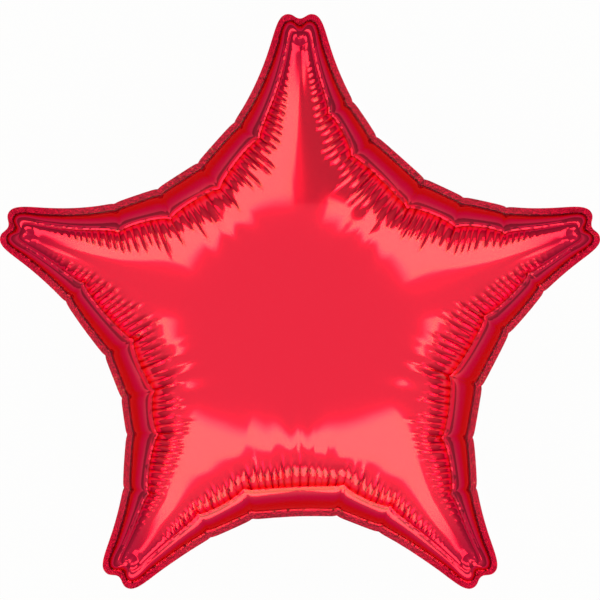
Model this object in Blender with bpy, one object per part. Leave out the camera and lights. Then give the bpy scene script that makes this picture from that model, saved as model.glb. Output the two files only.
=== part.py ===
"""Inflated star foil balloon, lying on its back as it comes to rest: one sealed envelope.

Two star-shaped sheets of foil are welded together along a narrow border and blown up between them.
The front face looks up, +Z. The top point of the star lies along +Y and +X is to the right.
The origin is the centre of the star, on the surface that the balloon lies on.
"""

import math

import bmesh
import bpy
import numpy as np

MM = 0.001

# Outline of the star, seen from the front.
POINTS = 5
POINT_REACH = 229.5 * MM  # centre to the ends of the two ears on each point
CROTCH_REACH = 141.5 * MM  # centre to the border, halfway between two points
CROTCH_HANDLE = 33.0 * MM  # how far the side stays straight beside the crotch
ARM_HANDLE = 44.0 * MM  # how far it stays straight beside the shoulder of a point
SHOULDER_REACH = 207.5 * MM  # where an arm starts to round off into its point
SHOULDER_HALF_WIDTH = 21.6 * MM
SHOULDER_TAPER = math.radians(17)  # between the arm's edge and its middle line there
EAR_OFFSET = 8.5 * MM  # from the arm's middle line to the end of each ear
EAR_ROUND = 7.0 * MM
NOTCH_DEPTH = 3.2 * MM  # of the dip between the two ears

# Border where the two sheets are welded together.
BORDER_WIDTH = 5.5 * MM
BORDER_THICKNESS = 1.0 * MM

# How far the sheets stand out from the border when the balloon is full.
HALF_THICKNESS = 79.0 * MM  # at the middle of the star
CENTRE_BLEND = 3.0  # how quickly round arms turn into the flatter middle
CENTRE_SQUARENESS = 0.2  # how much fuller than an ellipse the middle's section is
CENTRE_ROUNDING = 45.0 * MM  # how far from the middle its top stays nearly level
DOME_START = 25.0 * MM  # the sheets are an even dome out to here, and less and less of one out to the next
DOME_END = 130.0 * MM
POINT_ROUND = 21.0 * MM  # radius of the rounded end of each arm, from the notch inwards
POINT_DROP = 0.1  # share of its height that an arm loses over that rounded end
FLAT_SPOT_DEPTH = 1.3 * MM  # how far the back is pressed flat where it lies

# The arms to the right and to the left lean a little towards the top point.
ARM_LEANS = {1: math.radians(-1.0), 4: math.radians(1.0)}
LEAN_START = 120.0 * MM

# The sides are drawn in by this much beside their crotch, most of all where the filling neck is welded in.
SIDE_DRAWN_IN = (0.0 * MM, 0.8 * MM, 6.0 * MM, 0.8 * MM, 0.0 * MM)
DRAWN_IN_SPAN = 105.0 * MM

# Folds that cross the sides. Each side has its own, placed from its crotch, clockwise positive.
SIDE_FOLDS = (
    (-68 * MM, -37 * MM, 10 * MM, 42 * MM, 75 * MM),
    (-82 * MM, -43 * MM, 0 * MM, 38 * MM, 75 * MM),
    (-58 * MM, -26 * MM, 34 * MM, 67 * MM),
    (-75 * MM, -36 * MM, -9 * MM, 24 * MM, 72 * MM),
    (-59 * MM, -25 * MM, 10 * MM, 50 * MM),
)
SIDE_RADIUS = 130.0 * MM  # of the side's curve beside the crotch
FOLD_DEPTH = 0.8 * MM
FOLD_SPREAD = 1.6 * MM
FOLD_REACH = 20.0 * MM  # how far the last fold at each end of a side still shows beside it

# The smooth tube beside the weld, and the crease that parts it from the gathered band.
TUBE_WIDTH = 16.5 * MM  # halfway between two folds
TUBE_GROWTH = 32.0 * MM  # an arm this wide, from its middle line, has most of the tube's full width
TUBE_PEAK = 0.14  # how much wider the tube is at a fold
TUBE_CREASE_DEPTH = 0.18  # of the tube's width
TUBE_CREASE_SPREAD = 0.55  # of the tube's width, on the tube's side of the crease
BAND_CREASE_SPREAD = 0.3  # and on the gathered side

# Gathers: narrow creases between wider ridges, square to the border, inwards from the tube's crease.
GATHER_DEPTH = 1.3 * MM
GATHER_SPAN = 105.0 * MM  # how far from the crotch they reach along a side
GATHER_FADE = 30.0 * MM
GATHER_BAND = 38.0 * MM  # how far inwards they reach
GATHER_IN_ARM = 0.6  # most that they take of the way from the tube to an arm's middle line

# Fineness of the faces.
CURVE_STEPS = 300
COLUMNS = 36  # along half a side; every second one is the bottom of a gather
CLOSER_COLUMNS = 0.35  # how much closer they stand than the average at the crotch and on the ears
TUBE_ROWS = (0.0, 0.17, 0.55)  # shares of the way from the weld to the tube's crease
BAND_ROWS = (0.0, 0.13, 0.5, 1.0)  # of the way over the gathered band
GATHER_AT_ROWS = (0.5, 1.0, 0.8, 0.0)  # share of the gathers' depth there
MIDDLE_ROWS = (0.25, 0.5, 0.76, 1.0)  # of the way from the band to the middle lines
DOME_RINGS = 27

# Inward folds sharper than this are crisp creases, and outward corners sharper than that are edges.
CREASE_ANGLE = math.radians(7)
CORNER_ANGLE = math.radians(50)

FOIL_RED = (0.86, 0.012, 0.055, 1.0)
FOIL_ROUGHNESS = 0.18
FOIL_METALLIC = 0.6

HALF_ANGLE = math.pi / POINTS


def smooth(x):
    x = np.clip(x, 0.0, 1.0)
    return x * x * (3 - 2 * x)


def bezier(points, steps):
    """Points along a cubic curve, without its last one."""
    a, b, c, d = (np.array(p) for p in points)
    t = np.linspace(0, 1, steps, endpoint=False)[:, None]
    return (1 - t) ** 3 * a + 3 * t * (1 - t) ** 2 * b + 3 * t**2 * (1 - t) * c + t**3 * d


class HalfSide:
    """Half a side of the star, from the crotch to the notch in a point, along an arm on +u.

    At each distance along its outer edge it knows that edge's point, where the line square to it
    meets the arm's middle line, and how high the foil stands there.
    """

    def __init__(self):
        crotch = CROTCH_REACH * np.array([math.cos(HALF_ANGLE), math.sin(HALF_ANGLE)])
        along_crotch = np.array([math.sin(HALF_ANGLE), -math.cos(HALF_ANGLE)])
        shoulder = np.array([SHOULDER_REACH, SHOULDER_HALF_WIDTH])
        along_arm = np.array([math.cos(SHOULDER_TAPER), -math.sin(SHOULDER_TAPER)])
        ear = np.array([POINT_REACH, EAR_OFFSET])
        notch = np.array([POINT_REACH - NOTCH_DEPTH, 0.0])
        across = np.array([0.0, 1.0])
        side = (crotch, crotch + CROTCH_HANDLE * along_crotch, shoulder - ARM_HANDLE * along_arm, shoulder)
        to_ear = (shoulder, shoulder + 2 * EAR_ROUND * along_arm, ear + EAR_ROUND * across, ear)
        to_notch = (ear, ear - EAR_ROUND / 2 * across, notch + NOTCH_DEPTH * across, notch)
        curve = np.concatenate([bezier(p, CURVE_STEPS) for p in (side, to_ear, to_notch)] + [notch[None]])
        step = np.linalg.norm(np.diff(curve, axis=0), axis=1)
        self.along = np.concatenate([[0.0], np.cumsum(step)])
        self.length = self.along[-1]
        self.edge = curve
        tangent = np.gradient(curve, self.along, axis=0)
        at_shoulder = CURVE_STEPS
        foot = curve[:, 0] + tangent[:, 1] / tangent[:, 0].clip(1e-6) * curve[:, 1]
        past_shoulder = self.along - self.along[at_shoulder]
        round_off = (past_shoulder / past_shoulder[-1]).clip(0, 1)
        last_foot = max(notch[0] - POINT_ROUND, foot[at_shoulder])
        rounded = foot[at_shoulder] + (last_foot - foot[at_shoulder]) * round_off
        self.foot = np.where(round_off > 0, rounded, foot)
        self.foot[0] = 0.0
        self.width = np.hypot(curve[:, 0] - self.foot, curve[:, 1]) - BORDER_WIDTH
        middle = CROTCH_REACH - BORDER_WIDTH
        blend = middle / ((middle / HALF_THICKNESS) ** CENTRE_BLEND - 1) ** (1 / CENTRE_BLEND)
        height = self.width / (1 + (self.width / blend) ** CENTRE_BLEND) ** (1 / CENTRE_BLEND)
        height = np.where(round_off > 0, height[at_shoulder] * (1 - POINT_DROP * round_off), height)
        fall = (height[0] - height[1]) / (self.foot[1] - self.foot[0])
        self.height = height + fall * self.foot * np.exp(-self.foot / CENTRE_ROUNDING)

    def at(self, distance):
        """Edge point, foot on the middle line, weld-to-foot distance and height, by distance from the crotch."""
        def read(values):
            return np.interp(distance, self.along, values)

        edge = np.stack([read(self.edge[:, 0]), read(self.edge[:, 1])], 1)
        return edge, read(self.foot), read(self.width), read(self.height)

    def height_over(self, place):
        """Height of the foil over a place on the middle line."""
        return np.interp(place, self.foot, self.height)


def bulge_between_folds(station, folds):
    """How far the border swells out between two folds: a chord across the side's hollow curve."""
    out = np.zeros_like(station)
    for low, high in zip(folds, folds[1:]):
        inside = (station > low) & (station < high)
        out[inside] = ((station - low) * (high - station))[inside] / (2 * SIDE_RADIUS)
    return out


def fold_nearness(station, folds):
    return np.max([np.exp(-abs(station - f) / FOLD_SPREAD) for f in folds], axis=0)


def fold_peaks(station, folds):
    """1 at each fold, and falling to 0 halfway to the next."""
    stops = (folds[0] - FOLD_REACH, *folds, folds[-1] + FOLD_REACH)
    phase = np.interp(station, stops, (0.5, *range(1, len(folds) + 1), len(folds) + 0.5))
    return (2 * (phase % 1) - 1) ** 2


def drawn_to_folds(station, folds):
    """The columns' places, moved so that every fold has an even column in its bottom."""
    even = station[::2]
    nearest = np.array([even[np.argmin(abs(even - f))] for f in folds])
    ends = (station[0], -station[0])
    return station + np.interp(station, (ends[0], *nearest, ends[1]), (0, *(np.array(folds) - nearest), 0))


def lean(points):
    """Turns the outer part of each leaning arm about the centre."""
    for arm, turn in ARM_LEANS.items():
        angle = arm * 2 * HALF_ANGLE
        reach = points[:, 0] * math.sin(angle) + points[:, 1] * math.cos(angle)
        aside = abs(points[:, 0] * math.cos(angle) - points[:, 1] * math.sin(angle))
        in_arm = aside < reach * math.tan(HALF_ANGLE)
        turned = turn * in_arm * smooth((reach - LEAN_START) / (POINT_REACH - LEAN_START))
        x, y = points[:, 0].copy(), points[:, 1].copy()
        points[:, 0] = x * np.cos(turned) + y * np.sin(turned)
        points[:, 1] = y * np.cos(turned) - x * np.sin(turned)
    return points


class Star:
    """The columns of a sheet all round the star: lines over it from its border to the arms' middle lines.

    They can stand at the same places on every side, or be drawn to that side's folds.
    """

    def __init__(self, drawn):
        self.half = HalfSide()
        count = np.arange(-COLUMNS, COLUMNS) / COLUMNS
        same = self.half.length * (count - CLOSER_COLUMNS * np.sin(2 * math.pi * count) / (2 * math.pi))
        sides = [self.side(i, drawn_to_folds(same, SIDE_FOLDS[i]) if drawn else same) for i in range(POINTS)]
        for name in sides[0]:
            setattr(self, name, np.concatenate([side[name] for side in sides]))

    def side(self, number, station):
        """What the columns of one side are made from, by name."""
        folds = SIDE_FOLDS[number]
        from_crotch = abs(station)
        edge, foot, width, height = self.half.at(from_crotch)
        # The first half of a side belongs to the arm before its crotch, the other to the next arm.
        arm = np.where(station < 0, number, number + 1) * 2 * HALF_ANGLE
        hand = np.where(station < 0, 1.0, -1.0)
        along = np.stack([np.sin(arm), np.cos(arm)], 1)
        across = np.stack([np.cos(arm), -np.sin(arm)], 1) * hand[:, None]
        base = foot[:, None] * along
        edge_place = edge[:, :1] * along + edge[:, 1:] * across
        length = np.linalg.norm(edge_place - base, axis=1)
        fold = FOLD_DEPTH * fold_nearness(station, folds)
        drawn_in = SIDE_DRAWN_IN[number] * (1 - smooth(from_crotch / DRAWN_IN_SPAN))
        tube = TUBE_WIDTH * (1 - np.exp(-width / TUBE_GROWTH)) * (1 + TUBE_PEAK * fold_peaks(station, folds))
        in_furrow = np.arange(2 * COLUMNS) % 2
        return {
            "foot": base,
            "outwards": (edge_place - base) / length[:, None],
            "place": foot,
            "lead": (edge[:, 0] - foot) / length,  # how far along the middle line the column leads
            "width": width,
            "height": height,
            "bulge": bulge_between_folds(station, folds) - drawn_in - fold,
            "fold": fold,
            "gathered": in_furrow * (1 - smooth((from_crotch - GATHER_SPAN) / GATHER_FADE)),
            "tube": tube,
            "band_end": tube + np.minimum(GATHER_BAND, GATHER_IN_ARM * (width - tube)),
        }

    def border(self):
        """The outer ring of the welded border."""
        reach = self.width + BORDER_WIDTH + self.bulge
        plan = lean(self.foot + self.outwards * reach[:, None])
        return np.column_stack([plan, np.full(len(plan), BORDER_THICKNESS / 2)])

    def row(self, inwards, gathering=0.0):
        """The ring of the foil this far in from the weld, with this share of the gathers' depth."""
        out = (1 - inwards / self.width).clip(0)
        power = 2 + CENTRE_SQUARENESS * smooth(self.height / HALF_THICKNESS)
        share_up = (1 - out**power) ** (1 / power)
        # Beside the middle line the height follows the place along it, so that the two sides meet smoothly.
        follow = smooth(self.place / CENTRE_ROUNDING) * (1 - out) ** 2
        crest = self.half.height_over(self.place + follow * self.lead * self.width * out)
        up = BORDER_THICKNESS / 2 + (crest - BORDER_THICKNESS / 2) * share_up
        # Everything pressed in goes square to the foil, and is gone by the middle line.
        slope = crest / self.width * out ** (power - 1) * share_up.clip(1e-6) ** (1 - power)
        past_tube = inwards - self.tube
        in_band = (past_tube / (self.band_end - self.tube)).clip(0, 1)
        to_middle = 1 - smooth((inwards - self.band_end) / (self.width - self.band_end))
        spread = np.where(past_tube < 0, TUBE_CREASE_SPREAD, BAND_CREASE_SPREAD)
        crease = np.exp(-abs(past_tube) / (spread * self.tube)) * smooth(2 * inwards / self.tube)
        pressed = TUBE_CREASE_DEPTH * self.tube * crease * to_middle
        pressed += self.fold * (1 - smooth(in_band)) + GATHER_DEPTH * gathering * self.gathered
        swell = self.bulge * (1 - smooth(past_tube / (1.5 * self.tube)))
        reach = self.width - inwards + swell - pressed * slope / np.hypot(1, slope)
        plan = lean(self.foot + self.outwards * reach[:, None])
        return np.column_stack([plan, up - pressed / np.hypot(1, slope)])


def sheet_rows():
    """Every ring of a sheet from the weld inwards, over its tube, its gathered band and its middle."""
    star = Star(drawn=True)
    band = star.band_end - star.tube
    rows = [star.row(star.tube * share) for share in TUBE_ROWS]
    rows += [star.row(star.tube + band * share, g) for share, g in zip(BAND_ROWS, GATHER_AT_ROWS)]
    # The middle's columns meet in pairs on the middle lines, so they don't follow the folds.
    star = Star(drawn=False)
    middle = star.width - star.band_end
    rows += [star.row(star.band_end + middle * share) for share in MIDDLE_ROWS]
    return domed(np.array(rows))


def domed(rows):
    """The rings of a sheet once its middle is an even dome."""
    plan = rows[..., 0] + 1j * rows[..., 1]
    reach = abs(plan)
    circles = np.linspace(0, DOME_END, DOME_RINGS)
    columns = range(rows.shape[1])
    crossing = np.array([np.interp(circles[1:], reach[::-1, c], plan[::-1, c]) for c in columns])
    height = np.array([np.interp(circles[1:], reach[::-1, c], rows[::-1, c, 2]) for c in columns])
    turned = abs(np.angle(np.roll(crossing, -1, axis=0) / crossing))
    dome = (turned * height).sum(axis=0) / turned.sum(axis=0)
    share = 1 - smooth((reach - DOME_START) / (DOME_END - DOME_START))
    up = np.interp(reach, circles, (HALF_THICKNESS, *dome))
    rows[..., 2] = rows[..., 2] * (1 - share) + up * share
    return rows


def skin(bm, outer, inner):
    """Faces between two rings, one of which may have half as many points as the other."""
    many, few = max(len(outer), len(inner)), min(len(outer), len(inner))
    for i in range(few):
        after = (i + 1) % few
        if many == few:
            bm.faces.new((outer[i], outer[after], inner[after], inner[i]))
            continue
        dense, sparse = (outer, inner) if len(outer) > few else (inner, outer)
        first, middle, last = dense[2 * i], dense[2 * i + 1], dense[2 * after]
        bm.faces.new((first, middle, sparse[i]))
        bm.faces.new((middle, sparse[after], sparse[i]))
        bm.faces.new((middle, last, sparse[after]))


def add_ring(bm, points, side, lift):
    """A ring's points on the front, side 1, or on the back, side -1, which is pressed flat where it lies."""
    z = np.maximum(side * points[:, 2], -lift) + lift
    return [bm.verts.new((x, y, up)) for x, y, up in zip(points[:, 0], points[:, 1], z)]


def foil_material():
    material = bpy.data.materials.new("red_foil")
    material.use_nodes = True
    shader = material.node_tree.nodes["Principled BSDF"]
    shader.inputs["Base Color"].default_value = FOIL_RED
    shader.inputs["Roughness"].default_value = FOIL_ROUGHNESS
    shader.inputs["Metallic"].default_value = FOIL_METALLIC
    return material


def build_balloon():
    lift = HALF_THICKNESS - FLAT_SPOT_DEPTH
    tube, band, middle = np.split(sheet_rows(), (len(TUBE_ROWS), len(TUBE_ROWS) + len(BAND_ROWS)))
    # Only the border's edge and the gathered band need every column.
    rings = [Star(drawn=True).border(), *tube[:, ::2], *band, *middle[:, ::2]]
    bm = bmesh.new()
    edges = []
    for side in (1, -1):
        laid = [add_ring(bm, points, side, lift) for points in rings]
        for outer, inner in zip(laid, laid[1:]):
            skin(bm, outer, inner)
        edges.append(laid[0])
    skin(bm, edges[1], edges[0])
    # The last ring runs out and back along each arm's middle line, so its points meet in pairs.
    bmesh.ops.remove_doubles(bm, verts=bm.verts, dist=0.01 * MM)
    bmesh.ops.dissolve_degenerate(bm, edges=bm.edges, dist=0.01 * MM)
    bmesh.ops.recalc_face_normals(bm, faces=bm.faces)
    for edge in bm.edges:
        edge.smooth = -CREASE_ANGLE < edge.calc_face_angle_signed() < CORNER_ANGLE
    for face in bm.faces:
        face.smooth = True
    mesh = bpy.data.meshes.new("foil_envelope")
    bm.to_mesh(mesh)
    bm.free()
    mesh.materials.append(foil_material())
    balloon = bpy.data.objects.new("foil_envelope", mesh)
    bpy.context.scene.collection.objects.link(balloon)
    return balloon


def clear_scene():
    for old in list(bpy.data.objects):
        bpy.data.objects.remove(old)


clear_scene()
build_balloon()
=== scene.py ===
"""Looks of the star foil balloon: its two sheets of red film, the light and the camera.

Each sheet is made as a fine mesh whose shape follows the outline of the star: a narrow welded border, a
smooth tube beside it, a crease where that tube ends, the gathered band and the full middle. Geometry
Nodes then press the gathers into it.
"""

import math

import bmesh
import bpy
import numpy as np
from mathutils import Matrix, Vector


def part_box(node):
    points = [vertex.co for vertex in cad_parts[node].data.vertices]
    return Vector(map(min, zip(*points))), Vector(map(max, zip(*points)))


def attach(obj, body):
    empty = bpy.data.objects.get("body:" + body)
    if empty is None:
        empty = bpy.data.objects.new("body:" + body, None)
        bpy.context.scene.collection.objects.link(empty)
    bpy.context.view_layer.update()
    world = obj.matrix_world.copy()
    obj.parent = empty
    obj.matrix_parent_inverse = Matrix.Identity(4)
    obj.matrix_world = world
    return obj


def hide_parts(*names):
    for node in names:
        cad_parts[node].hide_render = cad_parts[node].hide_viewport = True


MM = 0.001

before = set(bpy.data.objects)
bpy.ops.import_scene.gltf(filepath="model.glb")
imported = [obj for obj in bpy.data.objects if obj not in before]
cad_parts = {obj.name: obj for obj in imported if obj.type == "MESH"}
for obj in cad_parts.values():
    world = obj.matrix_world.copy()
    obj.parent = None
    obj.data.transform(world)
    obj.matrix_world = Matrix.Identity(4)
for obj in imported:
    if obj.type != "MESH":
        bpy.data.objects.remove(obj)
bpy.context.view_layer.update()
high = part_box("foil_envelope")[1]

# Outline of the star, seen from the front.
POINTS = 5
HALF_ANGLE = math.pi / POINTS
POINT_REACH = 229.5 * MM  # centre to the ends of the two ears on each point
CROTCH_REACH = 141.5 * MM  # centre to the border, halfway between two points
CROTCH_HANDLE = 33.0 * MM  # how far the side stays straight beside the crotch
ARM_HANDLE = 44.0 * MM  # how far it stays straight beside the shoulder of a point
SHOULDER_REACH = 207.5 * MM  # where an arm starts to round off into its point
SHOULDER_HALF_WIDTH = 21.6 * MM
SHOULDER_TAPER = math.radians(17)  # between the arm's edge and its middle line there
EAR_OFFSET = 8.5 * MM  # from the arm's middle line to the end of each ear
EAR_ROUND = 7.0 * MM
NOTCH_DEPTH = 3.2 * MM  # of the dip between the two ears

# The arms to the right and to the left lean a little towards the top point.
ARM_LEANS = {1: math.radians(-1.0), 4: math.radians(1.0)}
LEAN_START = 120.0 * MM

# The sides are drawn in by this much beside their crotch, most of all where the filling neck is welded in.
SIDE_DRAWN_IN = (0.0 * MM, 0.8 * MM, 6.0 * MM, 0.8 * MM, 0.0 * MM)
DRAWN_IN_SPAN = 105.0 * MM

# Section of the full balloon, from the border to the middle.
BORDER_WIDTH = 5.5 * MM
FILM_GAP = 0.15 * MM  # from the weld's middle plane to either face
HALF_THICKNESS = 79.0 * MM  # at the middle of the star
SEAM_HEIGHT = high.z - HALF_THICKNESS
CENTRE_BLEND = 3.0  # how quickly round arms turn into the flatter middle
CENTRE_SQUARENESS = 0.2  # how much fuller than an ellipse the middle's section is
CENTRE_ROUNDING = 45.0 * MM  # how far from the middle its top stays nearly level
DOME_START = 25.0 * MM  # the sheet is an even dome out to here, and less and less of one out to the next
DOME_END = 130.0 * MM
POINT_ROUND = 21.0 * MM  # radius of the rounded end of each arm, from the notch inwards
POINT_DROP = 0.1  # share of its height that an arm loses over that rounded end

# The tube beside the weld, and the crease that parts it from the gathered band.
TUBE_WIDTH = 16.5 * MM  # halfway between two folds
TUBE_GROWTH = 32.0 * MM  # an arm this wide, from its middle line, has most of the tube's full width
TUBE_PEAK = 0.14  # how much wider the tube is at a fold
TUBE_CREASE_DEPTH = 0.18  # of the tube's width
TUBE_CREASE_SPREAD = 0.55  # of the tube's width, on the tube's side of the crease
BAND_CREASE_SPREAD = 0.3  # and on the gathered side
CREASE_FADE = 14.0 * MM  # how near a tip the crease grows shallow
SWELL_REACH = 1.5  # in widths of the tube, how far past its crease a side's bulges still show

# Folds that cross the tube. Each side has its own, placed from its crotch, clockwise positive.
SIDE_FOLDS = (
    (-68 * MM, -37 * MM, 10 * MM, 42 * MM, 75 * MM),
    (-82 * MM, -43 * MM, 0 * MM, 38 * MM, 75 * MM),
    (-58 * MM, -26 * MM, 34 * MM, 67 * MM),
    (-75 * MM, -36 * MM, -9 * MM, 24 * MM, 72 * MM),
    (-59 * MM, -25 * MM, 10 * MM, 50 * MM),
)
SIDE_RADIUS = 130.0 * MM  # of the side's curve between two folds
FOLD_DEPTH = 0.8 * MM
FOLD_SPREAD = 1.6 * MM
FOLD_REACH = 20.0 * MM  # how far the last fold at each end of a side still shows beside it
SHORTEST_FOLD = 0.35  # share of the gathered band that it crosses

# Gathers.
GATHER_SPACING = 4.3 * MM
GATHER_DEPTH = 1.1 * MM
GATHER_SHARPNESS = 1.6
GATHER_UNEVENNESS = 0.6  # in gathers
GATHER_SEED = 3.0
DRIFT_SPAN = 22.0 * MM
GATHER_BAND = 38.0 * MM  # how far inwards from the tube's crease they can reach
GATHER_IN_ARM = 0.6  # most that they take of the way from the tube to an arm's middle line
GATHER_SPAN = 112.0 * MM  # how far from the crotch they run along a side
GATHER_FADE = 45.0 * MM
GATHER_START = (-0.5 * MM, 1.5 * MM)  # where they begin and where they are full, from the tube's crease
GATHER_TAPER = 0.4  # share of its length at which one starts to grow shallow
GATHER_LENGTHS = (0.5, 1.0)  # least and most, of the band's
GATHER_DEPTHS = (0.65, 1.2)  # least and most, of the full depth
LENGTH_DRAW = 0.21  # keeps the draws for lengths apart from those for depths
DEPTH_DRAW = 0.43
SEED_STEP = 0.731

# The border is crimped where the film behind it draws in.
CRIMP_SPAN = 3.5 * MM
CRIMP_DEPTH = 1.1 * MM
CRIMP_EDGE = (-3.0 * MM, 1.0 * MM)  # where it fades out, from the weld inwards

# Values that each point of a sheet carries: its place along the border, how far inwards it is from the tube's
# crease and from the weld, how strongly the film is gathered there, and how far along the border the next tip is.
SHEET_VALUES = ("place_along", "past_tube", "past_weld", "gathering", "from_tip")

# Fineness of the mesh.
CURVE_STEPS = 300
COLUMNS = 288  # along half a side
CLOSER_COLUMNS = 0.35  # how much closer they are at the crotch and at the tips
DOME_RINGS = 27
BORDER_ROWS = 5
TUBE_ROWS = 12
GATHER_ROWS = 17
CLOSER_ROWS = 1.5  # power that draws the gathered band's rows to the tube's crease
MIDDLE_ROWS = 14
MERGE_DISTANCE = 0.01 * MM

# Film red and painted shade. A pair of distances, here and in the gloss below, is where a change begins and ends.
FILM_RED = (0.9, 0.003, 0.034, 1.0)
# Painted shade: the red grows darker towards each tip.
TIP_PAINTED_SHADE = (0.42, 0.003, 0.03, 1.0)
TIP_SHADE_CHANGE = (85.0 * MM, 20.0 * MM)  # from the tip
# Painted shade: darker red on the tube beside the weld.
TUBE_PAINTED_SHADE = (0.52, 0.013, 0.046, 1.0)
TUBE_SHADE_CHANGE = (18.0 * MM, 9.0 * MM)  # from the weld
# Painted shade: darker red on the welded border.
WELD_PAINTED_SHADE = (0.42, 0.003, 0.03, 1.0)
WELD_EDGE = (-1.0 * MM, 0.5 * MM)
# Painted shade: darker red in the bottoms of the gathers' creases.
CREASE_PAINTED_SHADE = (0.35, 0.001, 0.02, 1.0)  # at the bottom of a gather
CREASE_SHADE_SHARPNESS = 3.0
GRAZING_RED = (0.9, 0.04, 0.1, 1.0)  # where the film is seen nearly edge-on

# Its gloss. The clear coat is thinner on the steep flanks of the tube and of the gathered band.
FILM_METAL = 0.95
FILM_ROUGHNESS = 0.12
FILM_COAT = 0.6
COAT_ROUGHNESS = 0.03
TUBE_COAT = 0.3  # share of the coat, as the next two are
WELD_COAT = 0.7
TIP_COAT = 0.15
TUBE_COAT_CHANGE = (6.0 * MM, 16.0 * MM)
TIP_COAT_CHANGE = (30.0 * MM, 75.0 * MM)
FLANK_LOSS = 0.85
TUBE_FLANK_START = (0.5 * MM, 2.0 * MM)  # from the weld, and the next three from the tube's crease
TUBE_FLANK_END = (-3.0 * MM, -7.0 * MM)
BAND_FLANK_START = (-0.5 * MM, 0.5 * MM)
BAND_FLANK_END = (8.0 * MM, 4.0 * MM)

# What is too fine for the mesh.
FINE_SHARE = 0.5  # of the gathers' depth
GROOVE_PLACE = -1.2 * MM  # from the tube's crease
GROOVE_WIDTH = 1.5 * MM  # either side of that
GROOVE_DEPTH = 0.45 * MM
GROOVE_DASH = 6.0 * MM  # how often it grows deeper and shallower
GROOVE_DRAW = 5.0  # keeps its drift apart from that of the gathers
GROOVE_TIP = (15.0 * MM, 45.0 * MM)  # where it fades in, from the tip
CRINKLE_SPAN = 2.6 * MM
CRINKLE_DEPTH = 1.7 * MM
CRINKLE_DETAIL = 3.0
CRINKLE_ROUGHNESS = 0.6
CRINKLE_EDGE = (-1.5 * MM, 0.5 * MM)

# Floor. Its radius and the camera's distances are in metres.
FLOOR_RADIUS = 4.0
FLOOR_CORNERS = 96
FLOOR_GREY = (0.42, 0.42, 0.42, 1.0)
FLOOR_ROUGHNESS = 0.9
FLOOR_WHITE = 0.97  # share of plain white in what the camera and mirrors see of it

# Light boxes around the balloon, placed so that the film mirrors them where the photo has its highlights. A search by
# a scratch script gave their first measures, which were then rounded and changed by hand. All are in degrees: the
# azimuths they reach from and to, from +X towards +Y, how far their near and far edges are from straight up, and how
# much farther their last end is than their first.
LIGHT_BOXES = {
    "upper_left": (92, 155, 44, 58, 0),
    "upper_right": (21, 60, 39, 55, -5),
    "top_right": (58, 80, 39, 45, 0),
    "front_left": (221, 243, 44.5, 52, -6),
    "front": (241, 291, 37, 44, -2),
    "front_right": (288, 316, 40, 51.5, 7),
    "low_front": (238, 302, 69, 90, 0),
    "small_left": (174, 188, 44, 48, 0),
    "small_right": (352, 366, 44, 48, 0),
}
NEAR_SOFTNESS = 2.5  # of their near edges, in degrees
EDGE_SOFTNESS = 1.0  # of their other edges
LIGHT_BOX_GLOW = 4.8
LIGHT_BOX_COLOUR = (1.0, 0.95, 0.5, 1.0)
CEILING_BACK = 0.93  # its back edge and its other edges, in heights of the ceiling
CEILING_REACH = 1.3
CEILING_BACK_SOFTNESS = 0.02
CEILING_SOFTNESS = 0.4
CEILING_LEAST_RISE = 0.02
CEILING_GLOW = 0.9
WALL_GLOW = 0.52
FRONT_WALL_GLOW = 0.65
WALL_CHANGE = (0.4, -0.6)  # in the direction's y, from the back wall's glow to the front wall's
HORIZON_GLOW = 0.35
HORIZON_CHANGE = (0.5, 0.0)  # in the direction's rise
WHITE = (1.0, 1.0, 1.0, 1.0)

# Camera.
CAMERA_RISE = 2.6  # above the weld
CAMERA_SENSOR = 36.0  # millimetres wide
CAMERA_CLIP = 20.0
PICTURE_WIDTH = 440.0 * MM
PICTURE_CENTRE = 19.8 * MM  # from the star's centre towards its top point

DEGREES = math.degrees(1)  # in a radian


def smooth(x):
    x = np.clip(x, 0.0, 1.0)
    return x * x * (3 - 2 * x)


class Number:
    """A socket that carries one number. Sums on it add Math nodes to its tree."""

    def __init__(self, graph, socket):
        self.graph, self.socket = graph, socket

    def math(self, operation, *others):
        values = dict(enumerate((self, *others)))
        return Number(self.graph, self.graph.add("ShaderNodeMath", {"operation": operation}, values).outputs[0])

    def __add__(self, other):
        return self.math("ADD", other)

    def __mul__(self, other):
        return self.math("MULTIPLY", other)

    def __sub__(self, other):
        return self.math("SUBTRACT", other)

    def __rsub__(self, other):
        node = self.graph.add("ShaderNodeMath", {"operation": "SUBTRACT"}, {0: other, 1: self})
        return Number(self.graph, node.outputs[0])

    def __truediv__(self, other):
        return self.math("DIVIDE", other)

    def __pow__(self, other):
        return self.math("POWER", other)

    def __abs__(self):
        return self.math("ABSOLUTE")

    __radd__ = __add__
    __rmul__ = __mul__

    def ramp(self, low, high, to_low=0.0, to_high=1.0):
        """Runs smoothly between two values while this number runs from low to high."""
        values = {"Value": self, "From Min": low, "From Max": high, "To Min": to_low, "To Max": to_high}
        node = self.graph.add("ShaderNodeMapRange", {"interpolation_type": "SMOOTHSTEP"}, values)
        return Number(self.graph, node.outputs["Result"])


class Graph:
    """A node tree, and the one way in which nodes are added to it."""

    def __init__(self, tree):
        self.tree = tree

    def add(self, kind, settings=None, values=None):
        node = self.tree.nodes.new(kind)
        for name, setting in (settings or {}).items():
            setattr(node, name, setting)
        for place, value in (values or {}).items():
            self.feed(node.inputs[place], value)
        return node

    def feed(self, socket, value):
        if isinstance(value, Number):
            value = value.socket
        if isinstance(value, bpy.types.NodeSocket):
            self.tree.links.new(value, socket)
        else:
            socket.default_value = value

    def mixed_colour(self, values):
        """Output of a node that mixes two colours. Its sockets are told apart by name among those in use."""
        node = self.add("ShaderNodeMix", {"data_type": "RGBA"})
        for socket in node.inputs:
            if socket.enabled and socket.name in values:
                self.feed(socket, values[socket.name])
        return next(s for s in node.outputs if s.enabled)

    def number(self, kind, output, settings=None, values=None):
        return Number(self, self.add(kind, settings, values).outputs[output])


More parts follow.
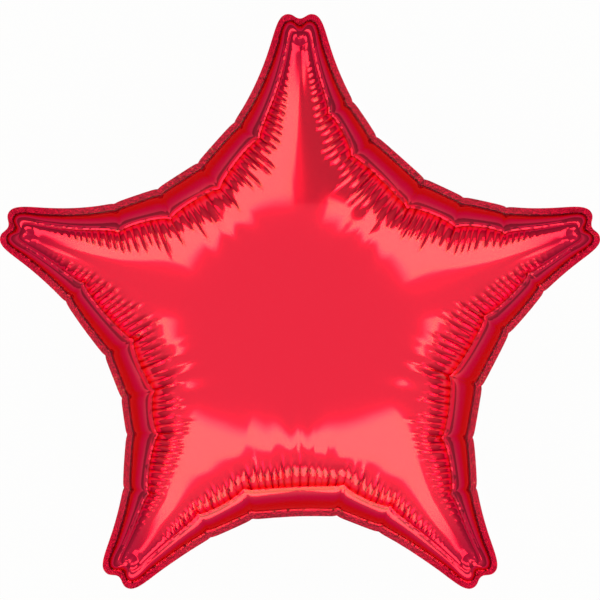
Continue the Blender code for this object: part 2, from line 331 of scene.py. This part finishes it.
def bezier(points, steps):
    """Points along a cubic curve, without its last one."""
    a, b, c, d = (np.array(p) for p in points)
    t = np.linspace(0, 1, steps, endpoint=False)[:, None]
    return (1 - t) ** 3 * a + 3 * t * (1 - t) ** 2 * b + 3 * t**2 * (1 - t) * c + t**3 * d


class HalfSide:
    """Half a side of the star, from its crotch to the notch in a point, along an arm on +u."""

    def __init__(self):
        crotch = CROTCH_REACH * np.array([math.cos(HALF_ANGLE), math.sin(HALF_ANGLE)])
        along_crotch = np.array([math.sin(HALF_ANGLE), -math.cos(HALF_ANGLE)])
        shoulder = np.array([SHOULDER_REACH, SHOULDER_HALF_WIDTH])
        along_arm = np.array([math.cos(SHOULDER_TAPER), -math.sin(SHOULDER_TAPER)])
        ear = np.array([POINT_REACH, EAR_OFFSET])
        notch = np.array([POINT_REACH - NOTCH_DEPTH, 0.0])
        across = np.array([0.0, 1.0])
        side = (crotch, crotch + CROTCH_HANDLE * along_crotch, shoulder - ARM_HANDLE * along_arm, shoulder)
        to_ear = (shoulder, shoulder + 2 * EAR_ROUND * along_arm, ear + EAR_ROUND * across, ear)
        to_notch = (ear, ear - EAR_ROUND / 2 * across, notch + NOTCH_DEPTH * across, notch)
        curve = np.concatenate([bezier(p, CURVE_STEPS) for p in (side, to_ear, to_notch)] + [notch[None]])
        self.edge = curve
        self.along = np.concatenate([[0.0], np.cumsum(np.linalg.norm(np.diff(curve, axis=0), axis=1))])
        self.length = self.along[-1]
        tangent = np.gradient(curve, self.along, axis=0)
        end = CURVE_STEPS
        foot = curve[:, 0] + tangent[:, 1] / tangent[:, 0].clip(1e-6) * curve[:, 1]
        rounding = np.clip((self.along - self.along[end]) / (self.length - self.along[end]), 0, 1)
        last_foot = max(notch[0] - POINT_ROUND, foot[end])
        self.foot = np.where(rounding > 0, foot[end] + (last_foot - foot[end]) * rounding, foot)
        self.foot[0] = 0.0
        self.width = np.hypot(curve[:, 0] - self.foot, curve[:, 1]) - BORDER_WIDTH
        middle = CROTCH_REACH - BORDER_WIDTH
        blend = middle / ((middle / HALF_THICKNESS) ** CENTRE_BLEND - 1) ** (1 / CENTRE_BLEND)
        height = self.width / (1 + (self.width / blend) ** CENTRE_BLEND) ** (1 / CENTRE_BLEND)
        height = np.where(rounding > 0, height[end] * (1 - POINT_DROP * rounding), height)
        fall = (height[0] - height[1]) / (self.foot[1] - self.foot[0])
        self.height = height + fall * self.foot * np.exp(-self.foot / CENTRE_ROUNDING)

    def read(self, values, distance):
        return np.interp(distance, self.along, values)


def lean(points):
    """Turns the outer part of each leaning arm about the centre."""
    x, y = points[..., 0].copy(), points[..., 1].copy()
    for arm, turn in ARM_LEANS.items():
        angle = arm * 2 * HALF_ANGLE
        reach = x * math.sin(angle) + y * math.cos(angle)
        aside = abs(x * math.cos(angle) - y * math.sin(angle))
        share = smooth((reach - LEAN_START) / (POINT_REACH - LEAN_START)) * (aside < reach * math.tan(HALF_ANGLE))
        turned = turn * share
        x, y = x * np.cos(turned) + y * np.sin(turned), y * np.cos(turned) - x * np.sin(turned)
    points[..., 0], points[..., 1] = x, y
    return points


def fold_peaks(station, folds):
    """1 at each fold, and falling to 0 halfway to the next."""
    stops = (folds[0] - FOLD_REACH, *folds, folds[-1] + FOLD_REACH)
    phase = np.interp(station, stops, (0.5, *range(1, len(folds) + 1), len(folds) + 0.5))
    return (2 * (phase % 1) - 1) ** 2


def domed(points):
    """Heights of the points once the middle of the sheet is an even dome."""
    plan = points[..., 0] + 1j * points[..., 1]
    reach = abs(plan)
    circles = np.linspace(0, DOME_END, DOME_RINGS)
    columns = range(plan.shape[1])
    crossing = np.array([np.interp(circles[1:], reach[::-1, c], plan[::-1, c]) for c in columns])
    height = np.array([np.interp(circles[1:], reach[::-1, c], points[::-1, c, 2]) for c in columns])
    turned = abs(np.angle(np.roll(crossing, -1, axis=0) / crossing))
    dome = (turned * height).sum(axis=0) / turned.sum(axis=0)
    share = 1 - smooth((reach - DOME_START) / (DOME_END - DOME_START))
    return points[..., 2] * (1 - share) + np.interp(reach, circles, (HALF_THICKNESS, *dome)) * share


def section_rows(width, tube, band_end):
    """Inward distances from the weld of each row of points, and how many columns apart the row's points are."""
    border = np.linspace(-BORDER_WIDTH, 0, BORDER_ROWS)
    rows = [(np.full_like(width, x), 2) for x in border[:-1]]
    # Rows lie closest beside the weld and beside the tube's crease, where the sheet turns most.
    rows += [(tube * (0.5 - 0.5 * math.cos(a)), 2) for a in np.linspace(0, math.pi, TUBE_ROWS)[:-1]]
    steps = np.linspace(0, 1, GATHER_ROWS) ** CLOSER_ROWS
    rows += [(tube + (band_end - tube) * t, 1) for t in steps]
    inner = np.linspace(0, 1, MIDDLE_ROWS + 1)[1:]
    rows += [(band_end + (width - band_end) * t, 2 if i == 0 else 4) for i, t in enumerate(inner)]
    return np.array([x for x, _ in rows]), [step for _, step in rows]


def full_section(half, inside, foot, width, height, lead):
    """Height of the blown-up sheet over the weld, and how far its face looks outwards and up."""
    out = (1 - inside / width).clip(0)
    power = 2 + CENTRE_SQUARENESS * smooth(height / HALF_THICKNESS)
    share_up = (1 - out**power) ** (1 / power)
    follow = smooth(foot / CENTRE_ROUNDING) * (1 - out)
    crest = np.interp(foot + follow * lead * width * out, half.foot, half.height)
    slope = crest / width * out.clip(1e-6) ** (power - 1) * (1 - out**power).clip(1e-6) ** (1 / power - 1)
    up = FILM_GAP + (crest * share_up - FILM_GAP * share_up)
    return up, slope / np.hypot(1, slope), 1 / np.hypot(1, slope)


def nearness_to_folds(station, folds):
    """1 at each fold, and falling to 0 close beside it."""
    return np.max([np.exp(-abs(station - fold) / FOLD_SPREAD) for fold in folds], axis=0)


def pressed_in(inwards, width, tube, band_end, near_point, fold_nearness, fold_end):
    """How deep the tube's crease and the folds are pressed into the full section."""
    inside = inwards.clip(0)
    spread = np.where(inside < tube, TUBE_CREASE_SPREAD, BAND_CREASE_SPREAD) * tube
    crease = np.exp(-abs(inside - tube) / spread) * smooth(2 * inside / tube)
    crease *= TUBE_CREASE_DEPTH * tube * (1 - smooth((inside - band_end) / (width - band_end)))
    folded = FOLD_DEPTH * fold_nearness * (1 - smooth((inside - tube) / (fold_end - tube)))
    return (crease * near_point + folded) * (inwards > 0)


def side_bulge(station, side, fold_nearness):
    """How far a side stands out from its plain outline."""
    folds = SIDE_FOLDS[side]
    bulge = np.zeros_like(station)
    for start, end in zip(folds, folds[1:]):
        between = (station > start) & (station < end)
        bulge[between] = ((station - start) * (end - station))[between] / (2 * SIDE_RADIUS)
    bulge -= FOLD_DEPTH * fold_nearness
    bulge -= SIDE_DRAWN_IN[side] * (1 - smooth(abs(station) / DRAWN_IN_SPAN))
    return bulge


def rays_to_border(station, side, edge_u, edge_v, foot):
    """Where on an arm's middle line each column of points starts, and its direction to the border."""
    arm = np.where(station < 0, side, side + 1) * 2 * HALF_ANGLE
    hand = np.where(station < 0, 1.0, -1.0)
    along = np.stack([np.sin(arm), np.cos(arm)], 1)
    across = np.stack([np.cos(arm), -np.sin(arm)], 1) * hand[:, None]
    base = foot[:, None] * along
    outwards = edge_u[:, None] * along + edge_v[:, None] * across - base
    outwards /= np.linalg.norm(outwards, axis=1)[:, None]
    return base, outwards


def sheet_points(seed):
    """Every point of one sheet, as rows by columns, with the values that the gathers and the film need."""
    half = HalfSide()
    rng = np.random.default_rng(seed)
    count = np.arange(-COLUMNS, COLUMNS) / COLUMNS
    station = half.length * (count - CLOSER_COLUMNS * np.sin(2 * math.pi * count) / (2 * math.pi))
    from_crotch = abs(station)
    from_tip = half.length - from_crotch
    edge_u, edge_v = half.read(half.edge[:, 0], from_crotch), half.read(half.edge[:, 1], from_crotch)
    foot, width, height = (half.read(v, from_crotch) for v in (half.foot, half.width, half.height))
    lead = (edge_u - foot) / np.hypot(edge_u - foot, edge_v)
    near_point = smooth(from_tip / CREASE_FADE)
    sides = []
    for side in range(POINTS):
        folds = SIDE_FOLDS[side]
        tube = TUBE_WIDTH * (1 - np.exp(-width / TUBE_GROWTH)) * (1 + TUBE_PEAK * fold_peaks(station, folds))
        band_end = tube + np.minimum(GATHER_BAND, GATHER_IN_ARM * (width - tube))
        inwards, steps = section_rows(width, tube, band_end)
        inside = inwards.clip(0)
        up, facing_out, facing_up = full_section(half, inside, foot, width, height, lead)
        fold_nearness = nearness_to_folds(station, folds)
        fold_end = tube + rng.uniform(SHORTEST_FOLD, 1.0) * (band_end - tube)
        pressed = pressed_in(inwards, width, tube, band_end, near_point, fold_nearness, fold_end)
        swell = side_bulge(station, side, fold_nearness) * (1 - smooth((inside - tube) / (SWELL_REACH * tube)))
        base, outwards = rays_to_border(station, side, edge_u, edge_v, foot)
        reach = width - inwards + swell - pressed * facing_out
        plan = lean(base + outwards * reach[..., None])
        up = up - pressed * facing_up
        strength = 1 - smooth((from_crotch - GATHER_SPAN + GATHER_FADE) / GATHER_FADE)
        strength = strength * (1 - smooth(2 * (inside - tube) / (band_end - tube) - 1))
        place = station + (side * 2 + 1) * half.length + seed
        even = np.ones_like(inwards)
        values = np.stack([place * even, inwards - tube, inwards, strength, from_tip * even], -1)
        sides.append(np.concatenate([plan, up[..., None], values], axis=2))
    points = np.concatenate(sides, axis=1)
    points[..., 2] = domed(points[..., :3])
    return points, steps


def faces_between(outer, outer_count, inner, inner_count):
    """Faces between two rings of points, given by their first point and how many they have."""
    if outer_count == inner_count:
        i = np.arange(outer_count)
        after = (i + 1) % outer_count
        return np.stack([outer + i, inner + i, inner + after, outer + after], 1).tolist()
    # One ring has twice as many points as the other, so three triangles span two of its steps.
    finer_out = outer_count > inner_count
    many_start, few_start = (outer, inner) if finer_out else (inner, outer)
    many, few = max(outer_count, inner_count), min(outer_count, inner_count)
    k = np.arange(few)
    near, after = few_start + k, few_start + (k + 1) % few
    first, middle, last = (many_start + step for step in (2 * k, 2 * k + 1, (2 * k + 2) % many))
    faces = []
    for corners in ((first, near, middle), (middle, near, after), (middle, after, last)):
        faces += np.stack(corners if finer_out else corners[::-1], 1).tolist()
    return faces


def sheet_mesh(name, front, seed):
    """One sheet of film before its gathers, with its border. front is 1, or -1 for the back."""
    points, steps = sheet_points(seed)
    columns = points.shape[1]
    rows = [row[::step] for row, step in zip(points, steps)]
    starts = np.cumsum([0] + [len(row) for row in rows]).tolist()
    coords, values = np.concatenate(rows)[:, :3], np.concatenate(rows)[:, 3:]
    coords[:, 2] = np.maximum(front * coords[:, 2], -SEAM_HEIGHT) + SEAM_HEIGHT
    faces = []
    for row in range(len(rows) - 1):
        faces += faces_between(starts[row], columns // steps[row], starts[row + 1], columns // steps[row + 1])
    if front > 0:
        faces = [f[::-1] for f in faces]
    mesh = bpy.data.meshes.new(name)
    mesh.from_pydata(coords.tolist(), [], faces)
    for i, label in enumerate(SHEET_VALUES):
        mesh.attributes.new(label, "FLOAT", "POINT").data.foreach_set("value", values[:, i].astype(np.float32))
    bm = bmesh.new()
    bm.from_mesh(mesh)
    bmesh.ops.remove_doubles(bm, verts=bm.verts, dist=MERGE_DISTANCE)
    bmesh.ops.dissolve_degenerate(bm, edges=bm.edges, dist=MERGE_DISTANCE)
    bm.to_mesh(mesh)
    bm.free()
    mesh.shade_smooth()
    return mesh


def drift(place, span, channel):
    """A slow wander along the border, from -1 to 1."""
    values = {"W": place / span + channel, "Scale": 1.0, "Detail": 1.0}
    return (place.graph.number("ShaderNodeTexNoise", 0, {"noise_dimensions": "1D"}, values) - 0.5) * 2.0


def gather_pattern(place, past, gathering, spacing, length, unevenness, seed):
    """Share of the gathers' full depth: creases square to the border, each with a depth and a length of its own."""
    phase = place / spacing + drift(place, DRIFT_SPAN, 0.0) * unevenness
    which = phase.math("ROUND")

    def own(channel, least, most):
        """A value of its own for each gather."""
        values = {"W": which + seed * SEED_STEP + channel}
        draw = place.graph.number("ShaderNodeTexWhiteNoise", "Value", {"noise_dimensions": "1D"}, values)
        return draw * (most - least) + least

    furrow = (1.0 - abs(phase - which) * 2.0) ** GATHER_SHARPNESS
    begin = past.ramp(*GATHER_START)
    finish = 1.0 - (past / (length * own(LENGTH_DRAW, *GATHER_LENGTHS))).ramp(GATHER_TAPER, 1.0)
    return furrow * own(DEPTH_DRAW, *GATHER_DEPTHS) * gathering * begin * finish


def gather_tree():
    """Presses the gathers into a sheet, and crimps its border."""
    tree = bpy.data.node_groups.new("gathers", "GeometryNodeTree")
    face = tree.interface
    face.new_socket("Sheet", in_out="INPUT", socket_type="NodeSocketGeometry")
    for label in ("Spacing", "Depth", "Length", "Unevenness", "Border crimp", "Seed"):
        face.new_socket(label, in_out="INPUT", socket_type="NodeSocketFloat")
    face.new_socket("Film", in_out="INPUT", socket_type="NodeSocketMaterial")
    face.new_socket("Sheet", in_out="OUTPUT", socket_type="NodeSocketGeometry")
    g = Graph(tree)
    given = g.add("NodeGroupInput").outputs
    place, past, past_weld, gathering = (
        g.number("GeometryNodeInputNamedAttribute", "Attribute", {"data_type": "FLOAT"}, {"Name": label})
        for label in SHEET_VALUES[:4]
    )
    spacing, depth, length, unevenness, crimp, seed = (
        Number(g, given[label]) for label in ("Spacing", "Depth", "Length", "Unevenness", "Border crimp", "Seed")
    )
    pressed = gather_pattern(place, past, gathering, spacing, length, unevenness, seed) * depth
    on_border = 1.0 - past_weld.ramp(*CRIMP_EDGE)
    lift = drift(place, CRIMP_SPAN, seed) * on_border * crimp
    normal = g.add("GeometryNodeInputNormal").outputs["Normal"]
    push = g.add("ShaderNodeVectorMath", {"operation": "SCALE"}, {0: normal, "Scale": lift - pressed})
    moved = g.add("GeometryNodeSetPosition", None, {"Geometry": given["Sheet"], "Offset": push.outputs[0]})
    real = g.add("GeometryNodeRealizeInstances", None, {"Geometry": moved.outputs[0]})
    covered = g.add("GeometryNodeSetMaterial", None, {"Geometry": real.outputs[0], "Material": given["Film"]})
    g.add("NodeGroupOutput", None, {"Sheet": covered.outputs[0]})
    return tree


def film_sheet(name, front, seed, film, tree):
    """One sheet of the balloon as a finished mesh."""
    sheet = bpy.data.objects.new(name, sheet_mesh(name, front, seed))
    bpy.context.scene.collection.objects.link(sheet)
    gathers = sheet.modifiers.new("gathers", "NODES")
    gathers.node_group = tree
    given = {s.name: s.identifier for s in tree.interface.items_tree if s.in_out == "INPUT"}
    chosen = {
        "Spacing": GATHER_SPACING,
        "Depth": GATHER_DEPTH,
        "Length": GATHER_BAND,
        "Unevenness": GATHER_UNEVENNESS,
        "Border crimp": CRIMP_DEPTH,
        "Seed": GATHER_SEED,
        "Film": film,
    }
    for label, value in chosen.items():
        gathers[given[label]] = value
    graph = bpy.context.evaluated_depsgraph_get()
    finished = bpy.data.meshes.new_from_object(sheet.evaluated_get(graph))
    sheet.modifiers.remove(gathers)
    sheet.data = finished
    finished.name = name
    print(name, "triangles", sum(len(p.vertices) - 2 for p in finished.polygons))
    return sheet


def red_film():
    """Glossy metal film with the gathers' sharp creases, the weld's crinkles and painted shade in its red."""
    material = bpy.data.materials.new("red_film")
    material.use_nodes = True
    g = Graph(material.node_tree)
    shader = material.node_tree.nodes["Principled BSDF"]
    place, past, past_weld, gathering, from_tip = (
        g.number("ShaderNodeAttribute", "Fac", {"attribute_name": label}) for label in SHEET_VALUES
    )
    pattern = gather_pattern(
        place, past, gathering, GATHER_SPACING, GATHER_BAND, GATHER_UNEVENNESS, GATHER_SEED
    )
    groove = (1.0 - abs(past - GROOVE_PLACE) / GROOVE_WIDTH).math("MAXIMUM", 0.0)
    groove = groove * (1.0 + drift(place, GROOVE_DASH, GROOVE_DRAW)) * from_tip.ramp(*GROOVE_TIP)
    where = g.add("ShaderNodeTexCoord").outputs["Object"]
    values = {
        "Vector": where, "Scale": 1 / CRINKLE_SPAN, "Detail": CRINKLE_DETAIL, "Roughness": CRINKLE_ROUGHNESS
    }
    crinkle = g.number("ShaderNodeTexNoise", 0, None, values) * (1.0 - past_weld.ramp(*CRINKLE_EDGE))
    height = crinkle * CRINKLE_DEPTH - pattern * (FINE_SHARE * GATHER_DEPTH) - groove * GROOVE_DEPTH
    bump = g.add("ShaderNodeBump", None, {"Height": height, "Distance": 1.0, "Strength": 1.0})
    g.feed(shader.inputs["Normal"], bump.outputs["Normal"])
    on_weld = 1.0 - past_weld.ramp(*WELD_EDGE)
    # Painted shade: darker reds mixed in towards the tips, on the tube, on the border and in the gathers' creases.
    film = g.mixed_colour({"Factor": from_tip.ramp(*TIP_SHADE_CHANGE), "A": FILM_RED, "B": TIP_PAINTED_SHADE})
    film = g.mixed_colour({"Factor": past_weld.ramp(*TUBE_SHADE_CHANGE), "A": film, "B": TUBE_PAINTED_SHADE})
    film = g.mixed_colour({"Factor": on_weld, "A": film, "B": WELD_PAINTED_SHADE})
    film = g.mixed_colour({"Factor": pattern**CREASE_SHADE_SHARPNESS, "A": film, "B": CREASE_PAINTED_SHADE})
    g.feed(shader.inputs["Base Color"], film)
    shader.inputs["Metallic"].default_value = FILM_METAL
    shader.inputs["Specular IOR Level"].default_value = 0.0
    shader.inputs["Specular Tint"].default_value = GRAZING_RED
    shader.inputs["Roughness"].default_value = FILM_ROUGHNESS
    tube_flank = past_weld.ramp(*TUBE_FLANK_START) * past.ramp(*TUBE_FLANK_END)
    band_flank = past.ramp(*BAND_FLANK_START) * past.ramp(*BAND_FLANK_END)
    steep = tube_flank.math("MAXIMUM", band_flank)
    coat = FILM_COAT * (1.0 - pattern) * (1.0 - steep * FLANK_LOSS)
    coat = coat * past_weld.ramp(*TUBE_COAT_CHANGE, TUBE_COAT, 1.0).math("MAXIMUM", on_weld * WELD_COAT)
    g.feed(shader.inputs["Coat Weight"], coat * from_tip.ramp(*TIP_COAT_CHANGE, TIP_COAT, 1.0))
    shader.inputs["Coat Roughness"].default_value = COAT_ROUGHNESS
    return material


def plain_floor():
    """A pale floor that the camera and the film see as white, apart from some of the balloon's shadow."""
    bpy.ops.mesh.primitive_circle_add(vertices=FLOOR_CORNERS, radius=FLOOR_RADIUS, fill_type="NGON")
    floor = bpy.context.object
    floor.name = "floor"
    material = bpy.data.materials.new("pale_floor")
    material.use_nodes = True
    g = Graph(material.node_tree)
    shader = material.node_tree.nodes["Principled BSDF"]
    shader.inputs["Base Color"].default_value = FLOOR_GREY
    shader.inputs["Roughness"].default_value = FLOOR_ROUGHNESS
    shader.inputs["Specular IOR Level"].default_value = 0.0
    white = g.add("ShaderNodeEmission", None, {"Strength": 1.0})
    ray = g.add("ShaderNodeLightPath")
    camera, mirrored, through = (
        Number(g, ray.outputs[label]) for label in ("Is Camera Ray", "Is Glossy Ray", "Is Transmission Ray")
    )
    seen = camera.math("MAXIMUM", mirrored).math("MAXIMUM", through) * FLOOR_WHITE
    mixed = g.add("ShaderNodeMixShader", None, {0: seen, 1: shader.outputs[0], 2: white.outputs[0]})
    g.feed(material.node_tree.nodes["Material Output"].inputs["Surface"], mixed.outputs[0])
    floor.data.materials.append(material)


def light_box(x, y, tilt, start, end, near, far, farther):
    """1 in the directions where a light box stands, and 0 elsewhere. Its measures are in degrees."""
    middle, half_width = math.radians((start + end) / 2), (end - start) / 2
    ahead = x * math.cos(middle) + y * math.sin(middle)
    sideways = y * math.cos(middle) - x * math.sin(middle)
    aside = sideways.math("ARCTAN2", ahead) * DEGREES
    away = tilt - aside * (farther / (end - start))
    shape = away.ramp(near - NEAR_SOFTNESS, near + NEAR_SOFTNESS)
    shape = shape * away.ramp(far + EDGE_SOFTNESS, far - EDGE_SOFTNESS)
    return shape * abs(aside).ramp(half_width + EDGE_SOFTNESS, half_width - EDGE_SOFTNESS)


def studio_world():
    """A bright ceiling over dimmer walls, with light boxes, and white where the camera looks past the floor."""
    world = bpy.data.worlds.new("studio")
    bpy.context.scene.world = world
    world.use_nodes = True
    g = Graph(world.node_tree)
    direction = g.add("ShaderNodeTexCoord").outputs["Generated"]
    parts = g.add("ShaderNodeSeparateXYZ", None, {0: direction})
    x, y, up = (Number(g, socket) for socket in parts.outputs)
    height = up.math("MAXIMUM", CEILING_LEAST_RISE)
    wall = y.ramp(*WALL_CHANGE, WALL_GLOW, FRONT_WALL_GLOW)
    wall = wall + (HORIZON_GLOW - wall) * up.ramp(*HORIZON_CHANGE)
    back = y / height
    ceiling = back.ramp(CEILING_BACK + CEILING_BACK_SOFTNESS, CEILING_BACK - CEILING_BACK_SOFTNESS)
    for reach in (abs(x) / height, -1.0 * y / height):
        ceiling = ceiling * reach.ramp(CEILING_REACH + CEILING_SOFTNESS, CEILING_REACH)
    surroundings = wall + (CEILING_GLOW - wall) * ceiling
    tilt = up.math("ARCCOSINE") * DEGREES
    lit = 0.0
    for measures in LIGHT_BOXES.values():
        lit = light_box(x, y, tilt, *measures).math("MAXIMUM", lit)
    ray = g.add("ShaderNodeLightPath")
    seen = Number(g, ray.outputs["Is Camera Ray"])
    background = world.node_tree.nodes["Background"]
    g.feed(background.inputs["Strength"], seen + (1.0 - seen) * (surroundings + lit * LIGHT_BOX_GLOW))
    colours = {"Factor": lit * (1.0 - seen), "A": WHITE, "B": LIGHT_BOX_COLOUR}
    g.feed(background.inputs["Color"], g.mixed_colour(colours))


def camera_above():
    data = bpy.data.cameras.new("camera")
    camera = bpy.data.objects.new("camera", data)
    bpy.context.scene.collection.objects.link(camera)
    bpy.context.scene.camera = camera
    camera.location = (0.0, PICTURE_CENTRE, SEAM_HEIGHT + CAMERA_RISE)
    data.sensor_width = CAMERA_SENSOR
    data.lens = CAMERA_SENSOR * CAMERA_RISE / PICTURE_WIDTH
    data.clip_end = CAMERA_CLIP


film = red_film()
tree = gather_tree()
for name, front, seed in (("front_sheet", 1, 3), ("back_sheet", -1, 8)):
    sheet = film_sheet(name, front, seed, film, tree)
    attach(sheet, "root")
    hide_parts("foil_envelope")
plain_floor()
studio_world()
camera_above()
bpy.context.scene.view_settings.view_transform = "Standard"
